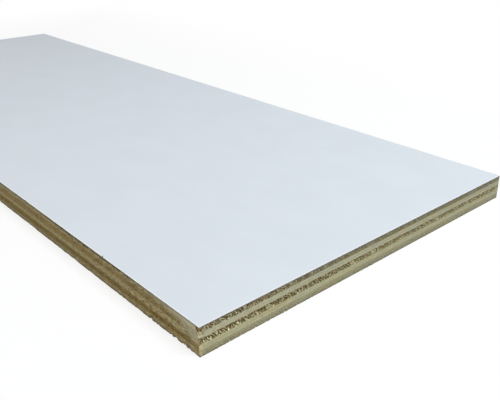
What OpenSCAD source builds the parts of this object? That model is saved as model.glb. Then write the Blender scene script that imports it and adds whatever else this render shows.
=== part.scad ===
// White-faced plywood board, lying flat with its white face up.
// Five rotary-cut veneers are glued with their grain crossed, layer by layer, and a thin
// white laminate is bonded to the face. The pressed sheet is then sawn square on all four sides.
// X runs along the sheet and along the grain of the face, Y across it, and Z up from the floor.

/* [Sheet] */
// Length of the sheet, along the grain of the face veneer
sheet_length = 800; // [300:10:2500]
// Width of the sheet, across the grain of the face veneer
sheet_width = 300; // [100:10:1250]

/* [Veneers] */
// Thickness of the face veneer, which carries the laminate
face_ply_t = 3.4; // [1.5:0.1:5]
// Thickness of each of the two cross veneers
cross_ply_t = 3.5; // [1.5:0.1:5]
// Thickness of the centre veneer
centre_ply_t = 3.8; // [1.5:0.1:5]
// Thickness of the back veneer, which lies on the floor
back_ply_t = 4.2; // [1.5:0.1:5]

/* [Laminate] */
// Thickness of the white laminate on the face
laminate_t = 0.6; // [0.3:0.1:1.5]

/* [Colours] */
// White of the laminate
laminate_colour = "#e2e9ee"; // ["#e2e9ee":Cool white, "#f1ece0":Warm white, "#c9ccce":Grey]
// Veneer with its grain along the sheet
long_grain_colour = "#a3987a"; // ["#a3987a":Grey tan, "#c2a878":Pale tan, "#8a6f4d":Brown]
// Veneer with its grain across the sheet
cross_grain_colour = "#c4bb98"; // ["#c4bb98":Pale cream, "#d8c9a0":Cream, "#a98d62":Tan]

/* [Hidden] */
// Each layer is seated on the top of the one under it.
back_ply_z = 0;
lower_cross_ply_z = back_ply_z + back_ply_t;
centre_ply_z = lower_cross_ply_z + cross_ply_t;
upper_cross_ply_z = centre_ply_z + centre_ply_t;
face_ply_z = upper_cross_ply_z + cross_ply_t;
laminate_z = face_ply_z + face_ply_t;

// The outline that the saw leaves, the same for every layer
module sawn_outline() {
  square([sheet_length, sheet_width], center = true);
}

// One layer of the pressed sheet, from its seat upwards
module layer(seat_z, thickness) {
  translate([0, 0, seat_z])
    linear_extrude(height = thickness)
      sawn_outline();
}

module white_laminate() {
  color(laminate_colour) layer(laminate_z, laminate_t);
}

module face_ply() {
  color(long_grain_colour) layer(face_ply_z, face_ply_t);
}

module upper_cross_ply() {
  color(cross_grain_colour) layer(upper_cross_ply_z, cross_ply_t);
}

module centre_ply() {
  color(long_grain_colour) layer(centre_ply_z, centre_ply_t);
}

module lower_cross_ply() {
  color(cross_grain_colour) layer(lower_cross_ply_z, cross_ply_t);
}

module back_ply() {
  color(long_grain_colour) layer(back_ply_z, back_ply_t);
}

white_laminate();
face_ply();
upper_cross_ply();
centre_ply();
lower_cross_ply();
back_ply();
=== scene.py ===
"""White-faced plywood sheet, dressed over its packed layers, from the floor up."""

from math import cos, radians, sin
from types import SimpleNamespace

import bpy
import numpy as np
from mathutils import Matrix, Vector
from mathutils.geometry import delaunay_2d_cdt


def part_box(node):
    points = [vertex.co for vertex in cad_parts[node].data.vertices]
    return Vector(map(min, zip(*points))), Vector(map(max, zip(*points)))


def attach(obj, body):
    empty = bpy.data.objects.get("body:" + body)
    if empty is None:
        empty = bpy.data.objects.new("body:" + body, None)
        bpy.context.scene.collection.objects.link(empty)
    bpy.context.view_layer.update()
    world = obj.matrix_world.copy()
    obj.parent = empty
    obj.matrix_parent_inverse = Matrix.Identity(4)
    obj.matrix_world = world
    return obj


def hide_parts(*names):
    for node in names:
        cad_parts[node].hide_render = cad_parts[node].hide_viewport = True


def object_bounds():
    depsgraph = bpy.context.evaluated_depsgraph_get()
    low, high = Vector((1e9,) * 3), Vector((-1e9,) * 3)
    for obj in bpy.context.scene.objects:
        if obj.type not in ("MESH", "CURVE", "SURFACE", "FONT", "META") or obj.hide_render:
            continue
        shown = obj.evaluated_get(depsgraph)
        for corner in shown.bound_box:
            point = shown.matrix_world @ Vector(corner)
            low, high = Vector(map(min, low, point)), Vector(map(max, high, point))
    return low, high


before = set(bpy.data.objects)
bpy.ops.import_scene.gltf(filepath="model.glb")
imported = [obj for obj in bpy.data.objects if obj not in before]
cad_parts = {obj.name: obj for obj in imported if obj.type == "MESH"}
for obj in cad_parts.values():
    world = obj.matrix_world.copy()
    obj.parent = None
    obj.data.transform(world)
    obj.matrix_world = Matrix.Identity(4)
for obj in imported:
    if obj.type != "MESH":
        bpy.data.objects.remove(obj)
cad_low, cad_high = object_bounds()

# The back veneer
# Rotary-cut poplar with its grain along the sheet, glued under the stack and left bare, so it
# lies on the floor. The saw leaves its ends furry and breaks short fibres off its lower edge.

half_length = cad_high.x
half_width = cad_high.y
saw_step = 0.0004
row_step = 0.0004
inner_rings = [(0.0011, 0.001), (0.004, 0.004), (0.012, 0.01)]
field_inset = 0.028
field_pitch = 0.02


def ring(inset, step):
    """Points round the sheet at this distance inside the saw cut, and the way each one faces."""
    x = half_length - inset
    y = half_width - inset
    corners = np.array([(-x, -y), (x, -y), (x, y), (-x, y)])
    side_ways = np.array([(0, -1), (1, 0), (0, 1), (-1, 0)])
    points = []
    outward = []
    for side in range(4):
        run = corners[(side + 1) % 4] - corners[side]
        count = round(abs(run).max() / step)
        points.append(corners[side] + run * np.arange(count)[:, None] / count)
        ways = np.tile(side_ways[side], (count, 1))
        ways[0] += side_ways[side - 1]
        outward.append(ways)
    return np.concatenate(points), np.concatenate(outward)


def field(inset, pitch):
    """A plain grid of points over the middle of the sheet."""
    x = np.linspace(inset - half_length, half_length - inset, round(2 * half_length / pitch))
    y = np.linspace(inset - half_width, half_width - inset, round(2 * half_width / pitch))
    return np.stack(np.meshgrid(x, y), -1).reshape(-1, 2)


cut_edge, cut_ways = ring(0, saw_step)
ring_points = [ring(inset, step)[0] for inset, step in inner_rings]
inner_points = np.concatenate([*ring_points, field(field_inset, field_pitch)])
flat_points = [Vector(point) for point in np.concatenate([cut_edge, inner_points])]
flat_mesh = delaunay_2d_cdt(flat_points, [], [list(range(len(cut_edge)))], 1, 1e-7)
flat_triangles = np.array(flat_mesh[2])


def blank(name, node, under_share, top_share):
    """A layer in its node's place, with walls of small squares and a map that gives them most room.

    The shares are the parts of the map that the flat faces take, nearly none where glue hides them.
    """
    low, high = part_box(node)
    rows = max(2, round((high.z - low.z) / row_step))
    count = len(cut_edge)
    inner = len(inner_points)
    heights = np.linspace(low.z, high.z, rows + 1)
    points = np.concatenate(
        [
            np.column_stack([np.tile(cut_edge, (rows + 1, 1)), np.repeat(heights, count)]),
            np.column_stack([inner_points, np.full(inner, low.z)]),
            np.column_stack([inner_points, np.full(inner, high.z)]),
        ]
    )
    column = np.tile(np.arange(count), rows)
    row = np.repeat(np.arange(rows), count)
    right = (column + 1) % count
    squares = np.stack([column, right, right + count, column + count], 1) + (row * count)[:, None]
    on_edge = flat_triangles < count
    top_row = rows * count
    under = np.where(on_edge, flat_triangles, flat_triangles + top_row)[:, ::-1]
    top = np.where(on_edge, flat_triangles + top_row, flat_triangles + top_row + inner)
    mesh = bpy.data.meshes.new(name)
    mesh.from_pydata(points.tolist(), [], squares.tolist() + under.tolist() + top.tolist())

    outward = np.zeros((len(points), 3), np.float32)
    outward[: (rows + 1) * count, :2] = np.tile(cut_ways, (rows + 1, 1))
    mesh.attributes.new("outward", "FLOAT_VECTOR", "POINT").data.foreach_set("vector", outward.ravel())

    # The walls lie in strips across the map, and the flat faces above them
    strips = 22 - round(14 * (under_share + top_share))
    strip_length = -(-count // strips)
    wall_share = 0.995 - under_share - top_share
    u = np.stack([column, column + 1, column + 1, column], 1) % strip_length
    u[:, 1:3] = u[:, :1] + 1
    lift = np.stack([row, row, row + 1, row + 1], 1) / rows
    v = ((column // strip_length)[:, None] + 0.05 + 0.9 * lift) / strips * wall_share
    walls = np.stack([0.002 + 0.996 * u / strip_length, v], -1).reshape(-1, 2)
    flat = points[:, :2] / (2 * half_length, 2 * half_width) * (0.996, 0.98) + 0.5
    under_map = flat[under.ravel()] * (1, under_share) + (0, wall_share)
    top_map = flat[top.ravel()] * (1, top_share) + (0, wall_share + under_share)
    whole_map = np.concatenate([walls, under_map, top_map])
    mesh.uv_layers.new(name="OFBake").data.foreach_set("uv", whole_map.astype(np.float32).ravel())

    piece = bpy.data.objects.new(name, mesh)
    bpy.context.scene.collection.objects.link(piece)
    return piece


class Wire:
    """An output of a node. Arithmetic on it adds Math nodes to its tree."""

    def __init__(self, graph, socket):
        self.graph = graph
        self.socket = socket

    def math(self, operation, *values):
        return self.graph.node("ShaderNodeMath", {"operation": operation}, dict(enumerate(values)))

    def __add__(self, other):
        return self.math("ADD", self, other)

    def __radd__(self, other):
        return self.math("ADD", other, self)

    def __sub__(self, other):
        return self.math("SUBTRACT", self, other)

    def __rsub__(self, other):
        return self.math("SUBTRACT", other, self)

    def __mul__(self, other):
        return self.math("MULTIPLY", self, other)

    def __rmul__(self, other):
        return self.math("MULTIPLY", other, self)

    def __truediv__(self, other):
        return self.math("DIVIDE", self, other)

    def __rtruediv__(self, other):
        return self.math("DIVIDE", other, self)

    def __pow__(self, other):
        return self.math("POWER", self, other)

    def __abs__(self):
        return self.math("ABSOLUTE", self)

    def sign(self):
        return self.math("SIGN", self)

    def at_most(self, other):
        return self.math("MINIMUM", self, other)

    def at_least(self, other):
        return self.math("MAXIMUM", self, other)


class Graph:
    """Builds one node tree, of a material or of geometry."""

    def __init__(self, tree):
        self.tree = tree

    def node(self, kind, settings=None, sockets=None, out=0):
        """Adds a node, sets its settings and then its sockets, and gives back the output asked for."""
        made = self.tree.nodes.new(kind)
        for key, value in (settings or {}).items():
            setattr(made, key, value)
        for key, value in (sockets or {}).items():
            if isinstance(value, Wire):
                self.feed(value, made.inputs[key])
            else:
                made.inputs[key].default_value = value
        if isinstance(out, tuple):
            return [Wire(self, made.outputs[one]) for one in out]
        return Wire(self, made.outputs[out]) if made.outputs else None

    def feed(self, wire, socket):
        """Links a wire to a socket of this tree."""
        self.tree.links.new(wire.socket, socket)

    def vector(self, x, y, z):
        return self.node("ShaderNodeCombineXYZ", {}, {0: x, 1: y, 2: z})

    def parts(self, vector):
        """The x, y and z of a vector."""
        return self.node("ShaderNodeSeparateXYZ", {}, {0: vector}, (0, 1, 2))

    def object_place(self):
        """The x, y and z of the surface in the object's own frame."""
        return self.parts(self.node("ShaderNodeTexCoord", out="Object"))

    def vector_math(self, operation, sockets, out=0):
        return self.node("ShaderNodeVectorMath", {"operation": operation}, sockets, out)

    def noise(self, place, detail=2.0, roughness=0.5):
        sockets = {"Vector": place, "Scale": 1.0, "Detail": detail, "Roughness": roughness}
        return self.node("ShaderNodeTexNoise", {"noise_dimensions": "3D"}, sockets)

    def step(self, value, low, high):
        """0 below low and 1 above high, with a soft step between. Low may be the larger one."""
        sockets = {"Value": value, "From Min": low, "From Max": high}
        return self.node("ShaderNodeMapRange", {"interpolation_type": "SMOOTHSTEP"}, sockets)

    def mix(self, share, first, second):
        """The first colour where share is 0 and the second where it is 1."""
        sockets = {0: share}
        for key, colour in ((6, first), (7, second)):
            sockets[key] = colour if isinstance(colour, Wire) else (*colour, 1.0)
        return self.node("ShaderNodeMix", {"data_type": "RGBA"}, sockets, 2)


def new_geometry_tree(name, inputs):
    """An empty geometry tree with these named inputs, as its graph and the wires of the inputs."""
    tree = bpy.data.node_groups.new(name, "GeometryNodeTree")
    tree.interface.new_socket("Geometry", in_out="OUTPUT", socket_type="NodeSocketGeometry")
    for label, kind in inputs.items():
        tree.interface.new_socket(label, in_out="INPUT", socket_type="NodeSocket" + kind)
    graph = Graph(tree)
    return graph, dict(zip(inputs, graph.node("NodeGroupInput", out=tuple(range(len(inputs))))))


def wall_ways(graph):
    """The way that each point of a wall faces, and 1 on the walls but 0 on the flat faces."""
    vector_kind = {"data_type": "FLOAT_VECTOR"}
    facing = graph.node("GeometryNodeInputNamedAttribute", vector_kind, {"Name": "outward"})
    return facing, graph.vector_math("LENGTH", {0: facing}, "Value").at_most(1.0)


def move_points(graph, geometry, facing, depth, shift):
    """Moves the points this deep into their walls, and by the shift besides."""
    inward = graph.vector_math("SCALE", {0: facing, "Scale": 0 - depth})
    move = graph.vector_math("ADD", {0: inward, 1: shift})
    return graph.node("GeometryNodeSetPosition", {}, {"Geometry": geometry, "Offset": move})


def end_geometry_tree(graph, geometry, material):
    """Closes the tree with plain geometry in one material."""
    plain = graph.node("GeometryNodeRealizeInstances", {}, {"Geometry": geometry})
    dressed = graph.node("GeometryNodeSetMaterial", {}, {"Geometry": plain, "Material": material})
    graph.node("NodeGroupOutput", {}, {"Geometry": dressed})
    return graph.tree


def near_corner_share(graph, x, y, reach):
    """1 at the near corner, where the saw left the sheet, easing to 0 at this distance from it."""
    return graph.step(((half_length - x) ** 2.0 + (half_width + y) ** 2.0) ** 0.5, reach, 0.0)


def torn_blocks(graph, spot, wood):
    """How far the end grain is torn, 0 to 1, in leaning blocks between lathe checks.

    A few blocks are left whole. The tears are deepest at the near corner.
    """
    across = spot.across
    seed = spot.seed
    from_seat = spot.z - wood["Seat"]
    share_up = from_seat / wood["Thickness"]
    sway = graph.noise(graph.vector(across / 0.011, spot.z / 0.006, seed), 2.0)
    ragged = graph.noise(graph.vector(across / 0.0011, spot.z / 0.0016, seed + 40), 3.0, 0.6)
    crumb = graph.noise(graph.vector(across / 0.0016, spot.z / 0.0013, seed + 80), 2.0, 0.6)
    lean = wood["Lean"] + 5 * graph.noise(graph.vector(across / 0.007, 0.0, seed + 60), 2.0) - 2.5
    count = (across + lean * from_seat) / wood["Block width"] + 3.5 * sway + 0.9 * ragged
    number = count.math("FLOOR", count)
    place = count - number
    pick = {"W": number + 0.31 * spot.along.sign() + seed}
    luck = graph.node("ShaderNodeTexWhiteNoise", {"noise_dimensions": "1D"}, pick, "Color")
    wide, widest, loose = graph.parts(luck)
    taper = 1.15 - 0.5 * abs(share_up - graph.step(widest, 0.4, 0.6))
    width = wood["Block share"] * (0.75 + 0.5 * wide) * taper
    hollow = graph.step(place, 0.0, 0.14) * graph.step(width - place, -0.06, 0.1)
    hollow = graph.step(hollow + 2.4 * crumb - 1.2, 0.32, 0.58)
    border = share_up + 0.3 * ragged - 0.15
    above_foot = graph.step(border - wood["Tear foot"], -0.05, 0.09)
    below_top = graph.step(wood["Tear top"] - border, -0.05, 0.07)
    torn = hollow * above_foot * below_top * graph.step(loose, 0.0, 0.06)
    return torn * (0.65 + 0.35 * wide) * (0.75 + 0.25 * spot.near)


wood_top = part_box("face_ply")[1].z
near_corner_reach = 0.24
ragged_reach = 0.13


def knocked_corner(graph, spot, wood):
    """How long the piece is that a corner lost, at each height, and how far that moves a point.

    The near corner is knocked off, most of all just under the laminate, and the others barely.
    """
    knock_width = 0.0037
    chunks = graph.noise(graph.vector(spot.y / 0.0024, spot.z / 0.0013, spot.seed), 1.0, 0.5)
    knocked = 0.12 + 0.88 * near_corner_share(graph, spot.x, spot.y, 0.06)
    run = wood["Corner run"] * (spot.z / wood_top).at_least(0.0) ** 1.3
    run = run * knocked * (0.55 + 0.9 * chunks)
    run = run * (1 - spot.from_side / knock_width).at_least(0.0)
    return run, (run - 0.5 * spot.from_end).at_least(0.0)


def broken_arris(graph, spot, wood):
    """How far the lower edge is broken upwards, and the share of that at each height.

    It is raggedest by the near corner.
    """
    arris_height = 0.0026
    notch = graph.noise(graph.vector(spot.x / 0.0034 + spot.seed, spot.y / 0.0013, 0.0), 4.0, 0.8)
    to_corner = (spot.from_end / 0.0022).at_least(spot.from_side / 0.0085)
    rim = graph.step(spot.from_end.at_most(spot.from_side), 0.0014, 0.0)
    rim = rim * graph.step(to_corner, 1.0, 3.0)
    ragged = near_corner_share(graph, spot.x, spot.y, ragged_reach)
    ragged = 0.2 + 0.8 * graph.step(ragged, 0.2, 0.5)
    lift = wood["Arris lift"] * (1 - 0.5 * spot.end) * ragged * rim * graph.step(notch, 0.48, 0.72)
    return lift, (1 - spot.z / arris_height).at_least(0.0)


def nibbled_top(graph, spot, wood):
    """Where a veneer's upper border is nibbled, a line with pits under it, and how far that shows.

    It is strongest a little way from the near corner, and missing right at it.
    """
    from_top = wood["Seat"] + wood["Thickness"] - spot.z
    nibble_place = graph.vector(spot.x / 0.0045, spot.y / 0.0045, spot.z / 0.002 + spot.seed)
    nibble = graph.noise(nibble_place, 3.0, 0.65)
    pits = graph.step(from_top, 0.0022, 0.0008) * graph.step(nibble, 0.5, 0.6)
    line = graph.step(from_top, 0.0011, 0.0005) * graph.step(nibble, 0.32, 0.45)
    away = graph.step(near_corner_share(graph, spot.x, spot.y, ragged_reach), 0.6, 0.35)
    away = away * (0.4 + 0.6 * graph.step(spot.near, 0.05, 0.35))
    return pits.at_least(line), away


def sawn_relief():
    """The tree that wears a veneer's sawn walls.

    It tears the end grain, streaks the side grain, breaks the lower edge, nibbles the upper border
    and knocks the near corner off. The material finds where by the attributes that it leaves.
    """
    graph, given = new_geometry_tree(
        "sawn_relief",
        {
            "Geometry": "Geometry",
            "Grain": "Vector",
            "Seat": "Float",
            "Thickness": "Float",
            "Block width": "Float",
            "Block share": "Float",
            "Lean": "Float",
            "Tear foot": "Float",
            "Tear top": "Float",
            "Tear depth": "Float",
            "Fuzz": "Float",
            "Streak depth": "Float",
            "Corner run": "Float",
            "Arris lift": "Float",
            "Undercut": "Float",
            "Seed": "Float",
            "Material": "Material",
        },
    )
    position = graph.node("GeometryNodeInputPosition")
    facing, wall = wall_ways(graph)
    grain = given["Grain"]
    spot = SimpleNamespace(seed=given["Seed"])
    spot.x, spot.y, spot.z = graph.parts(position)
    spot.along = graph.vector_math("DOT_PRODUCT", {0: position, 1: grain}, "Value")
    spot.across = spot.x + spot.y - spot.along
    spot.end = abs(graph.vector_math("DOT_PRODUCT", {0: facing, 1: grain}, "Value")).at_most(1.0)
    spot.near = near_corner_share(graph, spot.x, spot.y, near_corner_reach)
    spot.from_end = half_length - abs(spot.x)
    spot.from_side = half_width - abs(spot.y)

    fine_place = graph.vector(spot.across / 0.0006, spot.z / 0.0006, spot.along * 61 + spot.seed)
    fine = graph.noise(fine_place, 2.0, 0.6)
    up = (spot.z - given["Seat"]) / given["Thickness"]
    torn = torn_blocks(graph, spot, given)
    inside = graph.step(up.at_most(1 - up), 0.0, 0.16)
    end_depth = given["Tear depth"] * torn * inside * (0.5 + fine) + given["Fuzz"] * (fine - 0.5)
    streak_place = graph.vector(spot.along / 0.009, spot.across / 0.02 + spot.seed, spot.z / 0.0008)
    streak = graph.noise(streak_place, 3.0, 0.6)
    side_depth = given["Streak depth"] * graph.step(streak, 0.4, 0.72)

    run, lost = knocked_corner(graph, spot, given)
    broken = abs(graph.parts(facing)[0]) * graph.step(run, 0.0001, 0.0005)
    lift, squeeze = broken_arris(graph, spot, given)
    nibbled, away = nibbled_top(graph, spot, given)
    cut_back = graph.step(given["Undercut"], 0.0, 0.0002)
    undercut = cut_back * wall * (1 - spot.end) * nibbled * away

    depth = spot.end * end_depth + (1 - spot.end) * side_depth + 0.3 * lift * squeeze
    off_corner = graph.step(spot.from_end.at_least(spot.from_side), 0.0, 0.0012)
    depth = (depth + given["Undercut"] * undercut) * off_corner
    shift = graph.vector(0 - spot.x.sign() * lost, 0.0, lift * squeeze)
    moved = move_points(graph, given["Geometry"], facing, depth, shift)
    on_points = {"data_type": "FLOAT", "domain": "POINT"}
    kept = {"end_grain": spot.end, "wall": wall, "broken": broken, "undercut": undercut}
    for label, value in kept.items():
        sockets = {"Geometry": moved, "Name": label, "Value": value}
        moved = graph.node("GeometryNodeStoreNamedAttribute", on_points, sockets)
    return end_geometry_tree(graph, moved, given["Material"])


def run_tree(piece, tree, values):
    """Runs a geometry tree on a piece with these inputs, and leaves the result as its plain mesh."""
    modifier = piece.modifiers.new(tree.name, "NODES")
    modifier.node_group = tree
    for item in tree.interface.items_tree:
        if item.in_out == "INPUT" and item.name in values:
            modifier[item.identifier] = values[item.name]
    shaped = piece.evaluated_get(bpy.context.evaluated_depsgraph_get())
    mesh = bpy.data.meshes.new_from_object(shaped)
    piece.modifiers.remove(modifier)
    piece.data = mesh
    mesh.shade_smooth()
    mesh.set_sharp_from_angle(angle=radians(50))
    return piece


def new_material(name):
    """An empty material with its shader, as the material, its graph and the shader's sockets."""
    material = bpy.data.materials.new(name)
    material.use_nodes = True
    tree = material.node_tree
    return material, Graph(tree), tree.nodes["Principled BSDF"].inputs


def shade(tone, level):
    """The same colour, lighter or darker."""
    return [value * level for value in tone]


def grain_noise(graph, spot, size, detail, roughness):
    """Noise in patches of this size along the grain, across it and upwards."""
    along, across, up = size
    place = graph.vector(spot.along / along, spot.across / across, spot.z / up + spot.seed)
    return graph.noise(place, detail, roughness)


def wood_spot(graph, wood, grain_on_x):
    """What is known of each point of a veneer's surface: its place, its wear and the wood's patterns."""
    spot = SimpleNamespace(seed=wood["Seed"])
    spot.x, spot.y, spot.z = graph.object_place()
    spot.along = spot.x if grain_on_x else spot.y
    spot.across = spot.y if grain_on_x else spot.x
    spot.end, spot.wall, spot.broken, spot.undercut = [
        graph.node("ShaderNodeAttribute", {"attribute_name": label}, out="Fac")
        for label in ("end_grain", "wall", "broken", "undercut")
    ]
    spot.near = near_corner_share(graph, spot.x, spot.y, near_corner_reach)
    spot.share_up = (spot.z - wood["Seat"]) / wood["Thickness"]
    spot.fibre = grain_noise(graph, spot, (0.03, 0.0005, 0.0005), 3.0, 0.6)
    spot.pores = grain_noise(graph, spot, (0.005, 0.0002, 0.0002), 2.0, 0.5)
    spot.grit = grain_noise(graph, spot, (0.004, 0.0009, 0.0010), 3.0, 0.6)
    spot.mottle = grain_noise(graph, spot, (0.004, 0.006, 0.0016), 2.0, 0.5)
    spot.torn = torn_blocks(graph, spot, wood)
    return spot


def side_grain(graph, spot, tone, streaks):
    """The colour along the grain, in soft bands with dark and pale streaks, fibres and pores."""
    flat = 1 - spot.wall
    warp = graph.noise(graph.vector(spot.along / 0.16, spot.across / 0.05, spot.seed), 2.0, 0.5)
    ring_wave = spot.across / 0.016 + 3.0 * warp * flat
    ring_place = graph.vector(spot.along / 0.3, ring_wave, spot.z / 0.0014 + spot.seed)
    rings = graph.noise(ring_place, 3.0, 0.55)
    band = 0.5 + (graph.step(rings, 0.3, 0.7) - 0.5) * (0.55 + 0.45 * flat)
    side = graph.mix(band, shade(tone, 1.2), shade(tone, 0.8))
    streak = grain_noise(graph, spot, (0.0038, 0.0012, 0.0009), 3.0, 0.7)
    strength = streaks * (0.55 + 0.55 * spot.near) * (0.15 + 0.85 * spot.wall)
    side = graph.mix(graph.step(streak, 0.51, 0.63) * strength, side, shade(tone, 0.33))
    side = graph.mix(graph.step(streak, 0.47, 0.34) * strength, side, shade(tone, 1.7))
    line_place = graph.vector(spot.along / 0.22, spot.across / 0.0034 + 9.0 * warp, spot.seed)
    lines = graph.noise(line_place, 4.0, 0.65)
    side = graph.mix(graph.step(lines, 0.48, 0.68) * flat * 0.5, side, shade(tone, 0.62))
    side = graph.mix(graph.step(lines, 0.45, 0.3) * flat * 0.4, side, shade(tone, 1.3))
    side = graph.mix(graph.step(spot.fibre, 0.5, 0.75) * 0.4, side, shade(tone, 0.6))
    side = graph.mix(graph.step(spot.pores, 0.62, 0.75) * 0.35, side, shade(tone, 0.3))
    # Painted shade: where the upper border is cut back under the laminate, the colour darkens to 0.17 of
    # the tone.
    return graph.mix(spot.undercut * 0.85, side, shade(tone, 0.17))


def end_grain(graph, spot, tone, torn_tone, sliver_tone, dust_tone):
    """The colour across the grain, gritty, with dark torn holes, pale slivers and perhaps dust."""
    fleck_place = graph.vector(spot.along / 0.004 + 9, spot.across / 0.0017, spot.z / 0.0013 + spot.seed)
    flecks = graph.noise(fleck_place, 2.0, 0.5)
    cut = graph.mix(graph.step(spot.grit, 0.3, 0.7), shade(tone, 1.3), shade(tone, 0.66))
    cut = graph.mix(graph.step(spot.mottle, 0.5, 0.7) * (0.3 + 0.2 * spot.near), cut, sliver_tone)
    cut = graph.mix(graph.step(flecks, 0.56, 0.7) * (0.35 + 0.25 * spot.near), cut, sliver_tone)
    hole = graph.mix(graph.step(spot.grit, 0.35, 0.65), shade(torn_tone, 1.35), shade(torn_tone, 0.62))
    hole_share = 0.5 + 0.48 * graph.step(spot.near, 0.1, 0.8)
    cut = graph.mix(graph.step(spot.torn, 0.2, 0.7) * hole_share, cut, hole)
    proud_share = 0.06 + 0.92 * spot.near ** 1.4
    cut = graph.mix(graph.step(flecks, 0.57, 0.63) * proud_share, cut, sliver_tone)
    if dust_tone:
        in_dust = graph.step(spot.mottle, 0.3, 0.7)
        dust = graph.mix(in_dust, shade(dust_tone, 1.08), shade(dust_tone, 0.92))
        cut = graph.mix(0.72 - 0.72 * near_corner_share(graph, spot.x, spot.y, 0.15), cut, dust)
    return cut


def corner_wear(graph, spot, split_foot, grey_patch, colour):
    """The colour with the wear of the near corner over it.

    The knocked-off face is pale fresh wood, split above its foot. Beside it the long edge is greyer in
    a patch, or where there is none, paler along its corner arris and stained.
    """
    fresh_tone = (0.80, 0.75, 0.50)
    pale_split = (0.74, 0.62, 0.405)
    dark_split = (0.22, 0.138, 0.052)
    colour = graph.mix(spot.broken * (1 - spot.end) * 0.45, colour, fresh_tone)
    split_place = graph.vector(spot.x / 0.0024, spot.y / 0.0010, spot.z / 0.0012 + spot.seed)
    splits = graph.noise(split_place, 2.0, 0.6)
    snapped = graph.mix(graph.step(splits, 0.44, 0.55), pale_split, dark_split)
    ripped = graph.step(spot.share_up + 0.8 * splits - 0.4 - split_foot, -0.08, 0.14)
    colour = graph.mix(graph.step(spot.broken, 0.2, 0.8) * ripped * 0.8, colour, snapped)

    from_end = half_length - spot.x
    from_side = spot.y + half_width
    on_side = graph.step(from_side, 0.002, 0.001)
    if grey_patch:
        # The long edge by the near corner is greyed in a patch that reaches furthest near the top.
        greyed_tone = (0.67, 0.66, 0.515)
        grey_noise = graph.noise(graph.vector(spot.x / 0.007, spot.y / 0.002, spot.z / 0.0025), 3.0, 0.6)
        reach = 0.011 + 0.040 * graph.step(spot.z, 0.009, 0.0195)
        on_side = on_side * graph.step(from_end, 0.0004, 0.0014) * (1 - spot.broken)
        greyed_share = graph.step(from_end / reach + 0.8 * grey_noise, 1.5, 0.4) * on_side
        return graph.mix(greyed_share * grey_patch, colour, greyed_tone)
    on_side = on_side * (1 - spot.broken)
    pale_arris_tone = (0.68, 0.63, 0.37)
    worn_tone = (0.8, 0.77, 0.55)
    stain_tone = (0.45, 0.30, 0.085)
    # The corner arris is paler in flecks.
    arris_flecks = graph.noise(graph.vector(spot.x / 0.002, spot.y / 0.002, spot.z / 0.002), 2.0, 0.5)
    arris = graph.step((from_end * 2.5).at_least(from_side * 0.6), 0.0026, 0.0006)
    colour = graph.mix(arris * graph.step(arris_flecks, 0.35, 0.6) * 0.7, colour, pale_arris_tone)
    colour = graph.mix(graph.step(from_end, 0.018, 0.002) * on_side * 0.14, colour, worn_tone)
    stain = graph.step(from_end, 0.007, 0.001) * on_side * graph.step(spot.z, 0.0005, 0.004)
    return graph.mix(stain * 0.45, colour, stain_tone)


def veneer(
    name,
    wood,
    grain_on_x,
    side_tone,
    end_tone,
    torn_tone,
    sliver_tone,
    streaks,
    grey_patch,
    long_edge_shade_tone=None,
    dust_tone=None,
):
    """Bare veneer as the saw leaves it: streaked on its sides, dark and porous on its end grain.

    The tones are linear colours. Streaks is how strongly the sides are streaked, the grey patch weight
    how far the long edge by the near corner is greyed, the tone for the upper border of the long edges
    is painted shade that darkens it away from the near corner, and the dust tone fills the end grain
    away from the near corner.
    """
    material, graph, shader = new_material(name)
    spot = wood_spot(graph, wood, grain_on_x)
    side = side_grain(graph, spot, side_tone, streaks)
    cut = end_grain(graph, spot, end_tone, torn_tone, sliver_tone, dust_tone)
    # Painted shade: the upper border of the long edges darkens towards a brown tone away from the near
    # corner.
    if long_edge_shade_tone:
        upper_shade = graph.step(spot.share_up + 0.5 * spot.mottle, 0.6, 1.2) * (1 - spot.near)
        side = graph.mix(upper_shade * 0.95, side, long_edge_shade_tone)
    colour = graph.mix(spot.end, side, cut)
    # Painted shade: the walls darken by up to 9% away from the near corner, as the light falls off.
    colour = graph.mix((1 - spot.near) * spot.wall * 0.09, colour, (0.0, 0.0, 0.0))

    cool_cast = (0.975, 1.01, 1.06)
    warm_cast = (1.025, 0.99, 0.94)
    drift_place = graph.vector(spot.x / 0.045, spot.y / 0.028, spot.z / 0.003 + spot.seed)
    drift = graph.noise(drift_place, 2.0, 0.5)
    cast = graph.mix(graph.step(drift, 0.35, 0.65), cool_cast, warm_cast)
    times = {"data_type": "RGBA", "blend_type": "MULTIPLY"}
    colour = graph.node("ShaderNodeMix", times, {0: 1.0, 6: colour, 7: cast}, 2)
    colour = corner_wear(graph, spot, wood["Corner foot"], grey_patch, colour)

    to_glue = (spot.z - wood["Seat"]).at_most(wood["Seat"] + wood["Thickness"] - spot.z)
    glue = graph.step(to_glue, 0.00022, 0.00004) * graph.step(spot.z, 0.001, 0.002) * spot.wall
    colour = graph.mix(glue * 0.22, colour, shade(side_tone, 0.35))
    # Painted shade: the walls darken over their lowest 1.6 mm, the contact shadow where the sheet meets
    # the floor.
    foot_top = 0.0016 - 0.0002 * spot.end
    foot_full = 0.0005 - 0.0003 * spot.end
    foot = graph.step(spot.z, foot_top, foot_full) * spot.wall * (1 - 0.1 * spot.end)
    colour = graph.mix(foot * 0.7, colour, shade(side_tone, 0.25))
    graph.feed(colour, shader["Base Color"])

    graph.feed(0.62 + 0.25 * spot.fibre + 0.1 * spot.torn, shader["Roughness"])
    shader["Specular IOR Level"].default_value = 0.25
    height = 0.5 * spot.fibre + 0.4 * spot.grit - 0.4 * spot.pores
    bump = graph.node("ShaderNodeBump", {}, {"Strength": 0.5, "Distance": 0.0004, "Height": height})
    graph.feed(bump, shader["Normal"])
    return material


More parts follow.
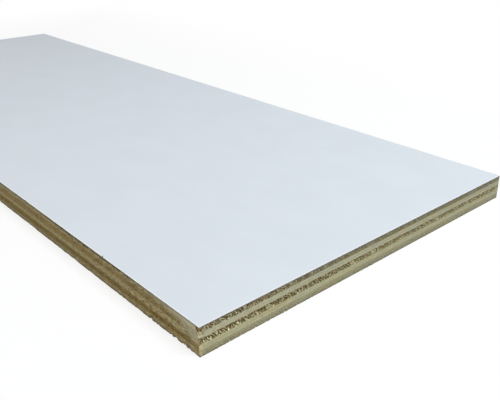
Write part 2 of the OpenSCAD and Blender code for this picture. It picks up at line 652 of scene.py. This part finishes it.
sawn_veneer = sawn_relief()
usual_wear = {"Corner run": 0.0029, "Arris lift": 0.0, "Undercut": 0.0}


def seat_of(node):
    """Where the node's layer starts and how thick it is, under the names that the trees use."""
    low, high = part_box(node)
    return {"Seat": low.z, "Thickness": high.z - low.z}


back_wood = {
    **seat_of("back_ply"),
    **usual_wear,
    "Grain": (1.0, 0.0, 0.0),
    "Block width": 0.0014,
    "Block share": 0.5,
    "Lean": 0.5,
    "Tear foot": 0.15,
    "Tear top": 0.55,
    "Tear depth": 0.0003,
    "Fuzz": 0.00026,
    "Streak depth": 0.0003,
    "Corner foot": 2.0,
    "Arris lift": 0.0013,
    "Seed": 3.1,
}
back_wood["Material"] = veneer(
    "back_veneer",
    back_wood,
    grain_on_x=True,
    side_tone=(0.475, 0.415, 0.24),
    end_tone=(0.410, 0.390, 0.257),
    torn_tone=(0.32, 0.29, 0.165),
    sliver_tone=(0.47, 0.43, 0.25),
    streaks=1.0,
    grey_patch=0.0,
    long_edge_shade_tone=(0.27, 0.205, 0.07),
)
back_ply = run_tree(blank("back_veneer", "back_ply", 0.4, 0.01), sawn_veneer, back_wood)
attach(back_ply, "root")
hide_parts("back_ply")

# The lower cross veneer
# Poplar with its grain across the sheet, glued on the back veneer. The saw cuts it cleanly along its
# grain on the short ends, and across it on the long edges, where it turns dark brown.

glued_share = 0.006
lower_wood = {
    **seat_of("lower_cross_ply"),
    **usual_wear,
    "Grain": (0.0, 1.0, 0.0),
    "Block width": 0.0020,
    "Block share": 0.6,
    "Lean": 0.6,
    "Tear foot": 0.0,
    "Tear top": 0.75,
    "Tear depth": 0.0005,
    "Fuzz": 0.0003,
    "Streak depth": 0.00012,
    "Corner foot": 0.72,
    "Seed": 11.7,
}
lower_wood["Material"] = veneer(
    "lower_cross_veneer",
    lower_wood,
    grain_on_x=False,
    side_tone=(0.548, 0.523, 0.333),
    end_tone=(0.314, 0.246, 0.092),
    torn_tone=(0.195, 0.133, 0.037),
    sliver_tone=(0.40, 0.325, 0.145),
    streaks=0.2,
    grey_patch=0.0,
)
lower_blank = blank("lower_cross_veneer", "lower_cross_ply", glued_share, glued_share)
lower_cross_ply = run_tree(lower_blank, sawn_veneer, lower_wood)
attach(lower_cross_ply, "root")
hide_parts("lower_cross_ply")

# The centre veneer
# Poplar with its grain along the sheet, peeled thick, so it is full of lathe checks. The saw tears
# dark leaning blocks out of its ends and leaves pale slivers standing between them.

centre_wood = {
    **seat_of("centre_ply"),
    **usual_wear,
    "Grain": (1.0, 0.0, 0.0),
    "Block width": 0.0023,
    "Block share": 0.84,
    "Lean": 0.7,
    "Tear foot": -0.08,
    "Tear top": 1.08,
    "Tear depth": 0.0008,
    "Fuzz": 0.0003,
    "Streak depth": 0.0003,
    "Corner foot": 0.15,
    "Seed": 25.1,
}
centre_wood["Material"] = veneer(
    "centre_veneer",
    centre_wood,
    grain_on_x=True,
    side_tone=(0.50, 0.445, 0.25),
    end_tone=(0.43, 0.395, 0.235),
    torn_tone=(0.172, 0.124, 0.036),
    sliver_tone=(0.92, 0.84, 0.56),
    streaks=1.0,
    grey_patch=0.6,
    long_edge_shade_tone=(0.34, 0.27, 0.108),
)
centre_blank = blank("centre_veneer", "centre_ply", glued_share, glued_share)
centre_ply = run_tree(centre_blank, sawn_veneer, centre_wood)
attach(centre_ply, "root")
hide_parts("centre_ply")

# The upper cross veneer
# Poplar with its grain across the sheet, the palest layer, glued between the centre and the face.
# On the long edges its end grain shows as a speckled band.

upper_wood = {
    **seat_of("upper_cross_ply"),
    **usual_wear,
    "Grain": (0.0, 1.0, 0.0),
    "Block width": 0.0015,
    "Block share": 0.6,
    "Lean": -0.5,
    "Tear foot": 0.1,
    "Tear top": 0.9,
    "Tear depth": 0.0005,
    "Fuzz": 0.00025,
    "Streak depth": 0.0001,
    "Corner foot": 0.5,
    "Seed": 37.9,
}
upper_wood["Material"] = veneer(
    "upper_cross_veneer",
    upper_wood,
    grain_on_x=False,
    side_tone=(0.560, 0.533, 0.366),
    end_tone=(0.380, 0.313, 0.147),
    torn_tone=(0.30, 0.217, 0.082),
    sliver_tone=(0.49, 0.41, 0.215),
    streaks=0.2,
    grey_patch=0.95,
)
upper_blank = blank("upper_cross_veneer", "upper_cross_ply", glued_share, glued_share)
upper_cross_ply = run_tree(upper_blank, sawn_veneer, upper_wood)
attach(upper_cross_ply, "root")
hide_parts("upper_cross_ply")

# The face veneer
# Poplar with its grain along the sheet, sanded flat for the laminate. Its ends are dark and
# speckled, with small pieces torn out under the laminate's edge and the near corner knocked off.

face_wood = {
    **seat_of("face_ply"),
    **usual_wear,
    "Grain": (1.0, 0.0, 0.0),
    "Block width": 0.0018,
    "Block share": 0.73,
    "Lean": 0.5,
    "Tear foot": -0.05,
    "Tear top": 0.92,
    "Tear depth": 0.0006,
    "Fuzz": 0.0003,
    "Streak depth": 0.0003,
    "Corner foot": -0.2,
    "Undercut": 0.0007,
    "Seed": 41.2,
}
face_wood["Material"] = veneer(
    "face_veneer",
    face_wood,
    grain_on_x=True,
    side_tone=(0.456, 0.393, 0.223),
    end_tone=(0.39, 0.355, 0.235),
    torn_tone=(0.155, 0.113, 0.048),
    sliver_tone=(0.74, 0.64, 0.41),
    streaks=1.0,
    grey_patch=1.0,
    dust_tone=(0.297, 0.272, 0.184),
)
face_blank = blank("face_veneer", "face_ply", glued_share, glued_share)
face_ply = run_tree(face_blank, sawn_veneer, face_wood)
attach(face_ply, "root")
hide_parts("face_ply")

# The white laminate
# A thin satin sheet of paper and resin, white only in its outer skin over a brown core, bonded to
# the face. The saw nicks its edge, which shows as a dark line round the sheet.

laminate_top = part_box("white_laminate")[1].z


def chipped_edge():
    """The tree that nicks the laminate's edge and lets its upper corner round over a little."""
    graph, given = new_geometry_tree(
        "chipped_edge",
        {
            "Geometry": "Geometry",
            "Top": "Float",
            "Chip length": "Float",
            "Chip depth": "Float",
            "Seed": "Float",
            "Material": "Material",
        },
    )
    x, y, z = graph.parts(graph.node("GeometryNodeInputPosition"))
    facing, wall = wall_ways(graph)
    length = given["Chip length"]
    place = graph.vector(x / length + given["Seed"], y / length, z / length)
    chip = graph.step(graph.noise(place, 3.0, 0.65), 0.63, 0.74)
    upper = graph.step(given["Top"] - z, 0.00035, 0.0)
    depth = given["Chip depth"] * chip * (0.3 + 0.7 * upper) + 0.00006 * upper
    sunk = graph.vector(0.0, 0.0, 0 - wall * upper * (0.00004 + 0.00022 * chip))
    moved = move_points(graph, given["Geometry"], facing, depth, sunk)
    return end_geometry_tree(graph, moved, given["Material"])


def laminate():
    """Satin white skin with a faint cloudiness and fine handling marks, and a brown core below it."""
    cool_white = (0.708, 0.740, 0.796)
    clear_white = (0.724, 0.756, 0.814)
    speck_tone = (0.675, 0.706, 0.760)
    rim_highlight_tone = (0.83, 0.85, 0.87)
    dark_core = (0.13, 0.115, 0.085)
    pale_core = (0.26, 0.235, 0.185)
    material, graph, shader = new_material("white_laminate")
    x, y, z = graph.object_place()
    cloud = graph.noise(graph.vector(x / 0.05, y / 0.035, z), 3.0, 0.5)
    speck = graph.noise(graph.vector(x / 0.0012, y / 0.0009, z), 2.0, 0.5)
    skin = graph.mix(graph.step(cloud, 0.3, 0.7), cool_white, clear_white)
    skin = graph.mix(graph.step(speck, 0.6, 0.8) * 0.25, skin, speck_tone)
    # Painted highlight: the skin is paler within about 1.6 mm of the saw cut.
    to_cut = (half_length - abs(x)).at_most(half_width - abs(y))
    skin = graph.mix(graph.step(to_cut, 0.0016, 0.0006) * 0.6, skin, rim_highlight_tone)
    core_grain = graph.noise(graph.vector(x / 0.002, y / 0.002, z / 0.0002), 2.0, 0.5)
    core = graph.mix(graph.step(core_grain, 0.3, 0.7), dark_core, pale_core)
    below = graph.step(laminate_top - z, 0.00008, 0.00016)
    graph.feed(graph.mix(below, skin, core), shader["Base Color"])
    scuff = graph.noise(graph.vector(x / 0.02 + y / 0.006, y / 0.004 - x / 0.05, z), 3.0, 0.6)
    rough = 0.55 + 0.1 * cloud + 0.08 * graph.step(scuff, 0.6, 0.75) + 0.3 * below
    graph.feed(rough, shader["Roughness"])
    shader["Specular IOR Level"].default_value = 0.05
    peel = graph.noise(graph.vector(x / 0.0016, y / 0.0016, z / 0.0016), 2.0, 0.5)
    bump = graph.node("ShaderNodeBump", {}, {"Strength": 0.25, "Distance": 0.00006, "Height": peel})
    graph.feed(bump, shader["Normal"])
    return material


white_laminate = run_tree(
    blank("white_laminate_face", "white_laminate", glued_share, 0.5),
    chipped_edge(),
    {
        "Top": laminate_top,
        "Chip length": 0.004,
        "Chip depth": 0.0003,
        "Seed": 5.3,
        "Material": laminate(),
    },
)
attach(white_laminate, "root")
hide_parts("white_laminate")

# The torn fibres
# Short broken ends of the back veneer's own wood, which the saw leaves hanging along the lower edge.
# They lie along the grain and stand a little proud of the cut.


def torn_fibres():
    """The tree that sets tapered fibres along the lower edge, thickest where the noise bunches them."""
    quarter_turn = 1.5708
    graph, given = new_geometry_tree(
        "torn_fibres",
        {
            "Geometry": "Geometry",
            "Length": "Float",
            "Width": "Float",
            "Spacing": "Float",
            "Fibre length": "Float",
            "Fibre radius": "Float",
            "Highest": "Float",
            "Seed": "Int",
            "Material": "Material",
        },
    )
    outline = {"Width": given["Length"], "Height": given["Width"]}
    edge = graph.node("GeometryNodeCurvePrimitiveQuadrilateral", {}, outline)
    spaced = {"Curve": edge, "Length": given["Spacing"]}
    points = graph.node("GeometryNodeCurveToPoints", {"mode": "LENGTH"}, spaced)
    x, y, _ = graph.parts(graph.node("GeometryNodeInputPosition"))
    bunch = graph.noise(graph.vector(x / 0.013, y / 0.013, given["Seed"] * 7.3), 3.0, 0.6)

    def luck(low, high, number):
        limits = {2: low, 3: high, 8: given["Seed"] + number}
        return graph.node("FunctionNodeRandomValue", {"data_type": "FLOAT"}, limits, 1)

    end_side = x.sign()
    long_side = y.sign()
    sunk = graph.vector(end_side * luck(-0.0009, -0.0002, 1), long_side * luck(-0.0005, -0.0001, 2), 0.0)
    rise = graph.vector(0.0, 0.0, luck(0.65, 1.2, 3) * given["Highest"])
    shift = graph.vector_math("ADD", {0: sunk, 1: rise})
    placed = graph.node("GeometryNodeSetPosition", {}, {"Geometry": points, "Offset": shift})
    fibre = graph.node(
        "GeometryNodeMeshCone",
        {"fill_type": "NGON"},
        {
            "Vertices": 4,
            "Side Segments": 2,
            "Radius Top": given["Fibre radius"] * 0.15,
            "Radius Bottom": given["Fibre radius"],
            "Depth": 1.0,
        },
    )
    tilt = end_side * (quarter_turn - luck(0.0, 0.35, 5))
    turn = graph.vector(0.0, tilt, end_side * long_side * luck(0.0, 0.3, 6))
    reach = given["Fibre length"] * luck(0.4, 1.0, 7) ** 3.0
    size = graph.vector(luck(0.5, 1.3, 8), luck(0.5, 1.3, 9), reach)
    least = 0.6 - 0.1 * near_corner_share(graph, x, y, 0.12)
    crowded = {0: bunch + luck(-0.12, 0.12, 10), 1: least}
    kept = graph.node("FunctionNodeCompare", {"operation": "GREATER_THAN"}, crowded)
    set_out = graph.node(
        "GeometryNodeInstanceOnPoints",
        {},
        {"Points": placed, "Instance": fibre, "Selection": kept, "Rotation": turn, "Scale": size},
    )
    return end_geometry_tree(graph, set_out, given["Material"])


def fibre_wood():
    """Straw wood, painted dark for the shade it hangs in under the lower edge, darker from one fibre to
    the next.
    """
    shaded_straw = (0.34, 0.30, 0.18)
    deeper_straw_shade = (0.16, 0.13, 0.065)
    material, graph, shader = new_material("torn_fibre")
    x, y, z = graph.object_place()
    tone = graph.noise(graph.vector(x / 0.004, y / 0.002, z / 0.0006), 2.0, 0.5)
    graph.feed(graph.mix(graph.step(tone, 0.3, 0.7), shaded_straw, deeper_straw_shade), shader["Base Color"])
    graph.feed(0.7 + 0.2 * tone, shader["Roughness"])
    shader["Specular IOR Level"].default_value = 0.3
    return material


fibres = bpy.data.objects.new("torn_fibres", bpy.data.meshes.new("torn_fibres"))
bpy.context.scene.collection.objects.link(fibres)
run_tree(
    fibres,
    torn_fibres(),
    {
        "Length": 2 * half_length,
        "Width": 2 * half_width,
        "Spacing": 0.0007,
        "Fibre length": 0.0019,
        "Fibre radius": 0.00032,
        "Highest": 0.0006,
        "Seed": 4,
        "Material": fibre_wood(),
    },
)
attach(fibres, "root")

# The lifted sliver
# One grey splinter of the face veneer, prised up by the saw at the long edge, still held at its foot.
# It stands just above the laminate.

sliver_foot = Vector((0.3040, 0.00035 - half_width, 0.0172))
sliver_rows = [
    (0.0, 0.0, 0.0, 0.0009),
    (0.0001, -0.0003, 0.0013, 0.0008),
    (0.0002, -0.0003, 0.0023, 0.0008),
    (0.0003, -0.0002, 0.0029, 0.0006),
]
sliver_thick = 0.00032
sliver_points = []
sliver_faces = [(3, 2, 1, 0)]
for row, (lean_x, lean_y, rise, wide) in enumerate(sliver_rows):
    middle = sliver_foot + Vector((lean_x, lean_y, rise))
    for side_x, side_y in ((-1, -1), (1, -1), (1, 1), (-1, 1)):
        sliver_points.append(middle + Vector((side_x * wide / 2, side_y * sliver_thick / 2, 0.0)))
    if row:
        for side in range(4):
            here = 4 * row - 4 + side
            beside = 4 * row - 4 + (side + 1) % 4
            sliver_faces.append((here, beside, beside + 4, here + 4))
sliver_faces.append((12, 13, 14, 15))
sliver_mesh = bpy.data.meshes.new("lifted_sliver")
sliver_mesh.from_pydata(sliver_points, [], sliver_faces)
lifted_sliver = bpy.data.objects.new("lifted_sliver", sliver_mesh)
bpy.context.scene.collection.objects.link(lifted_sliver)


def sliver_wood():
    """Weathered grey wood with fine upright grain, brown and shaded below the laminate's top."""
    pale_grey = (0.44, 0.44, 0.41)
    dark_grey = (0.30, 0.29, 0.26)
    shaded_brown = (0.09, 0.075, 0.05)
    material, graph, shader = new_material("lifted_sliver")
    x, _, z = graph.object_place()
    grain = graph.noise(graph.vector(x / 0.0002, 0.0, z / 0.0012), 2.0, 0.6)
    tone = graph.mix(graph.step(grain, 0.35, 0.65), pale_grey, dark_grey)
    tone = graph.mix(graph.step(z, 0.0193, 0.0187) * 0.8, tone, shaded_brown)
    graph.feed(tone, shader["Base Color"])
    shader["Roughness"].default_value = 0.8
    return material


sliver_mesh.materials.append(sliver_wood())
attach(lifted_sliver, "root")

# The floor
# A plain pale studio floor that shows white to the camera and keeps the sheet's soft shadow.

floor_half = 4.0
floor_level = -0.0001
floor_corners = [(-1, -1), (1, -1), (1, 1), (-1, 1)]
floor_points = [(a * floor_half, b * floor_half, floor_level) for a, b in floor_corners]
floor_mesh = bpy.data.meshes.new("floor")
floor_mesh.from_pydata(floor_points, [], [(0, 1, 2, 3)])
floor = bpy.data.objects.new("floor", floor_mesh)
bpy.context.scene.collection.objects.link(floor)


def in_picture(graph):
    """1 for what the camera sees, straight, mirrored or through glass, and 0 for all other light."""
    seen, mirrored, through = graph.node(
        "ShaderNodeLightPath", out=("Is Camera Ray", "Is Glossy Ray", "Is Transmission Ray")
    )
    return seen.at_least(mirrored).at_least(through)


def floor_paint():
    """Pale matt paint that looks white, and lets the shadow show most strongly beside the sheet."""
    pale_tone = (0.52, 0.49, 0.44)
    white = (1.0, 1.0, 1.0)
    material, graph, shader = new_material("pale_floor")
    shader["Roughness"].default_value = 0.9
    shader["Specular IOR Level"].default_value = 0.1
    shown = in_picture(graph)
    graph.feed(graph.mix(shown, pale_tone, white), shader["Base Color"])
    x, y, _ = graph.object_place()
    away = (abs(x) - half_length).at_least(abs(y) - half_width)
    bright = 0.82 + 0.18 * graph.step(away, 0.03, 0.4)
    glow = graph.node("ShaderNodeEmission", {}, {"Color": (*white, 1.0), "Strength": 1.0})
    nodes = material.node_tree.nodes
    painted = Wire(graph, nodes["Principled BSDF"].outputs[0])
    surface = graph.node("ShaderNodeMixShader", {}, {0: shown * bright, 1: painted, 2: glow})
    graph.feed(surface, nodes["Material Output"].inputs["Surface"])
    return material


floor_mesh.materials.append(floor_paint())

# The light
# One large cool softbox high over the near right end, a weak warm fill on the long edge, two low
# ones for the sides away from the camera, and a dim pale room that shows white.


def softbox(name, place, aim, size, watts, colour):
    """A square soft lamp at a place, turned to a point."""
    lamp = bpy.data.lights.new(name, "AREA")
    lamp.size = size
    lamp.energy = watts
    lamp.color = colour
    holder = bpy.data.objects.new(name, lamp)
    holder.location = place
    holder.rotation_euler = (Vector(aim) - Vector(place)).to_track_quat("-Z", "Y").to_euler()
    bpy.context.scene.collection.objects.link(holder)


cool_light = (0.92, 0.98, 1.0)
warm_light = (1.0, 0.74, 0.4)
soft_light = (1.0, 0.95, 0.86)
softbox("key_softbox", (1.18, 0.22, 1.81), (0.15, 0.0, 0.0), 0.98, 35.1, cool_light)
softbox("warm_fill", (0.3, -1.6, 0.5), (0.1, 0.0, 0.0), 1.0, 3.2, warm_light)
softbox("far_end_fill", (-1.8, -0.1, 0.25), (-0.4, 0.0, 0.0), 0.5, 2.4, soft_light)
softbox("far_side_fill", (0.3, 1.7, 0.25), (0.0, 0.15, 0.0), 0.5, 2.4, soft_light)

world = bpy.data.worlds.new("pale_room")
bpy.context.scene.world = world
world.use_nodes = True
room = Graph(world.node_tree)
room_colour = room.mix(in_picture(room), (0.26, 0.26, 0.26), (1.0, 1.0, 1.0))
room.feed(room_colour, world.node_tree.nodes["Background"].inputs["Color"])

# The camera
# Set by the near lower corner of the sheet, at the height, turn and lens that the edge lines give.

near_corner = Vector((half_length, -half_width, 0.0))
from_corner = Vector((0.218664, -0.160462, 0.216299))
turn = radians(48.220)
dip = radians(24.954)
look = Vector((-sin(turn) * cos(dip), cos(turn) * cos(dip), -sin(dip)))
lens = bpy.data.cameras.new("camera")
lens.sensor_width = 36.0
lens.lens = 46.398
lens.clip_start = 0.01
camera = bpy.data.objects.new("camera", lens)
camera.location = near_corner + from_corner
camera.rotation_euler = look.to_track_quat("-Z", "Y").to_euler()
bpy.context.scene.collection.objects.link(camera)
bpy.context.scene.camera = camera
bpy.context.scene.view_settings.view_transform = "Standard"
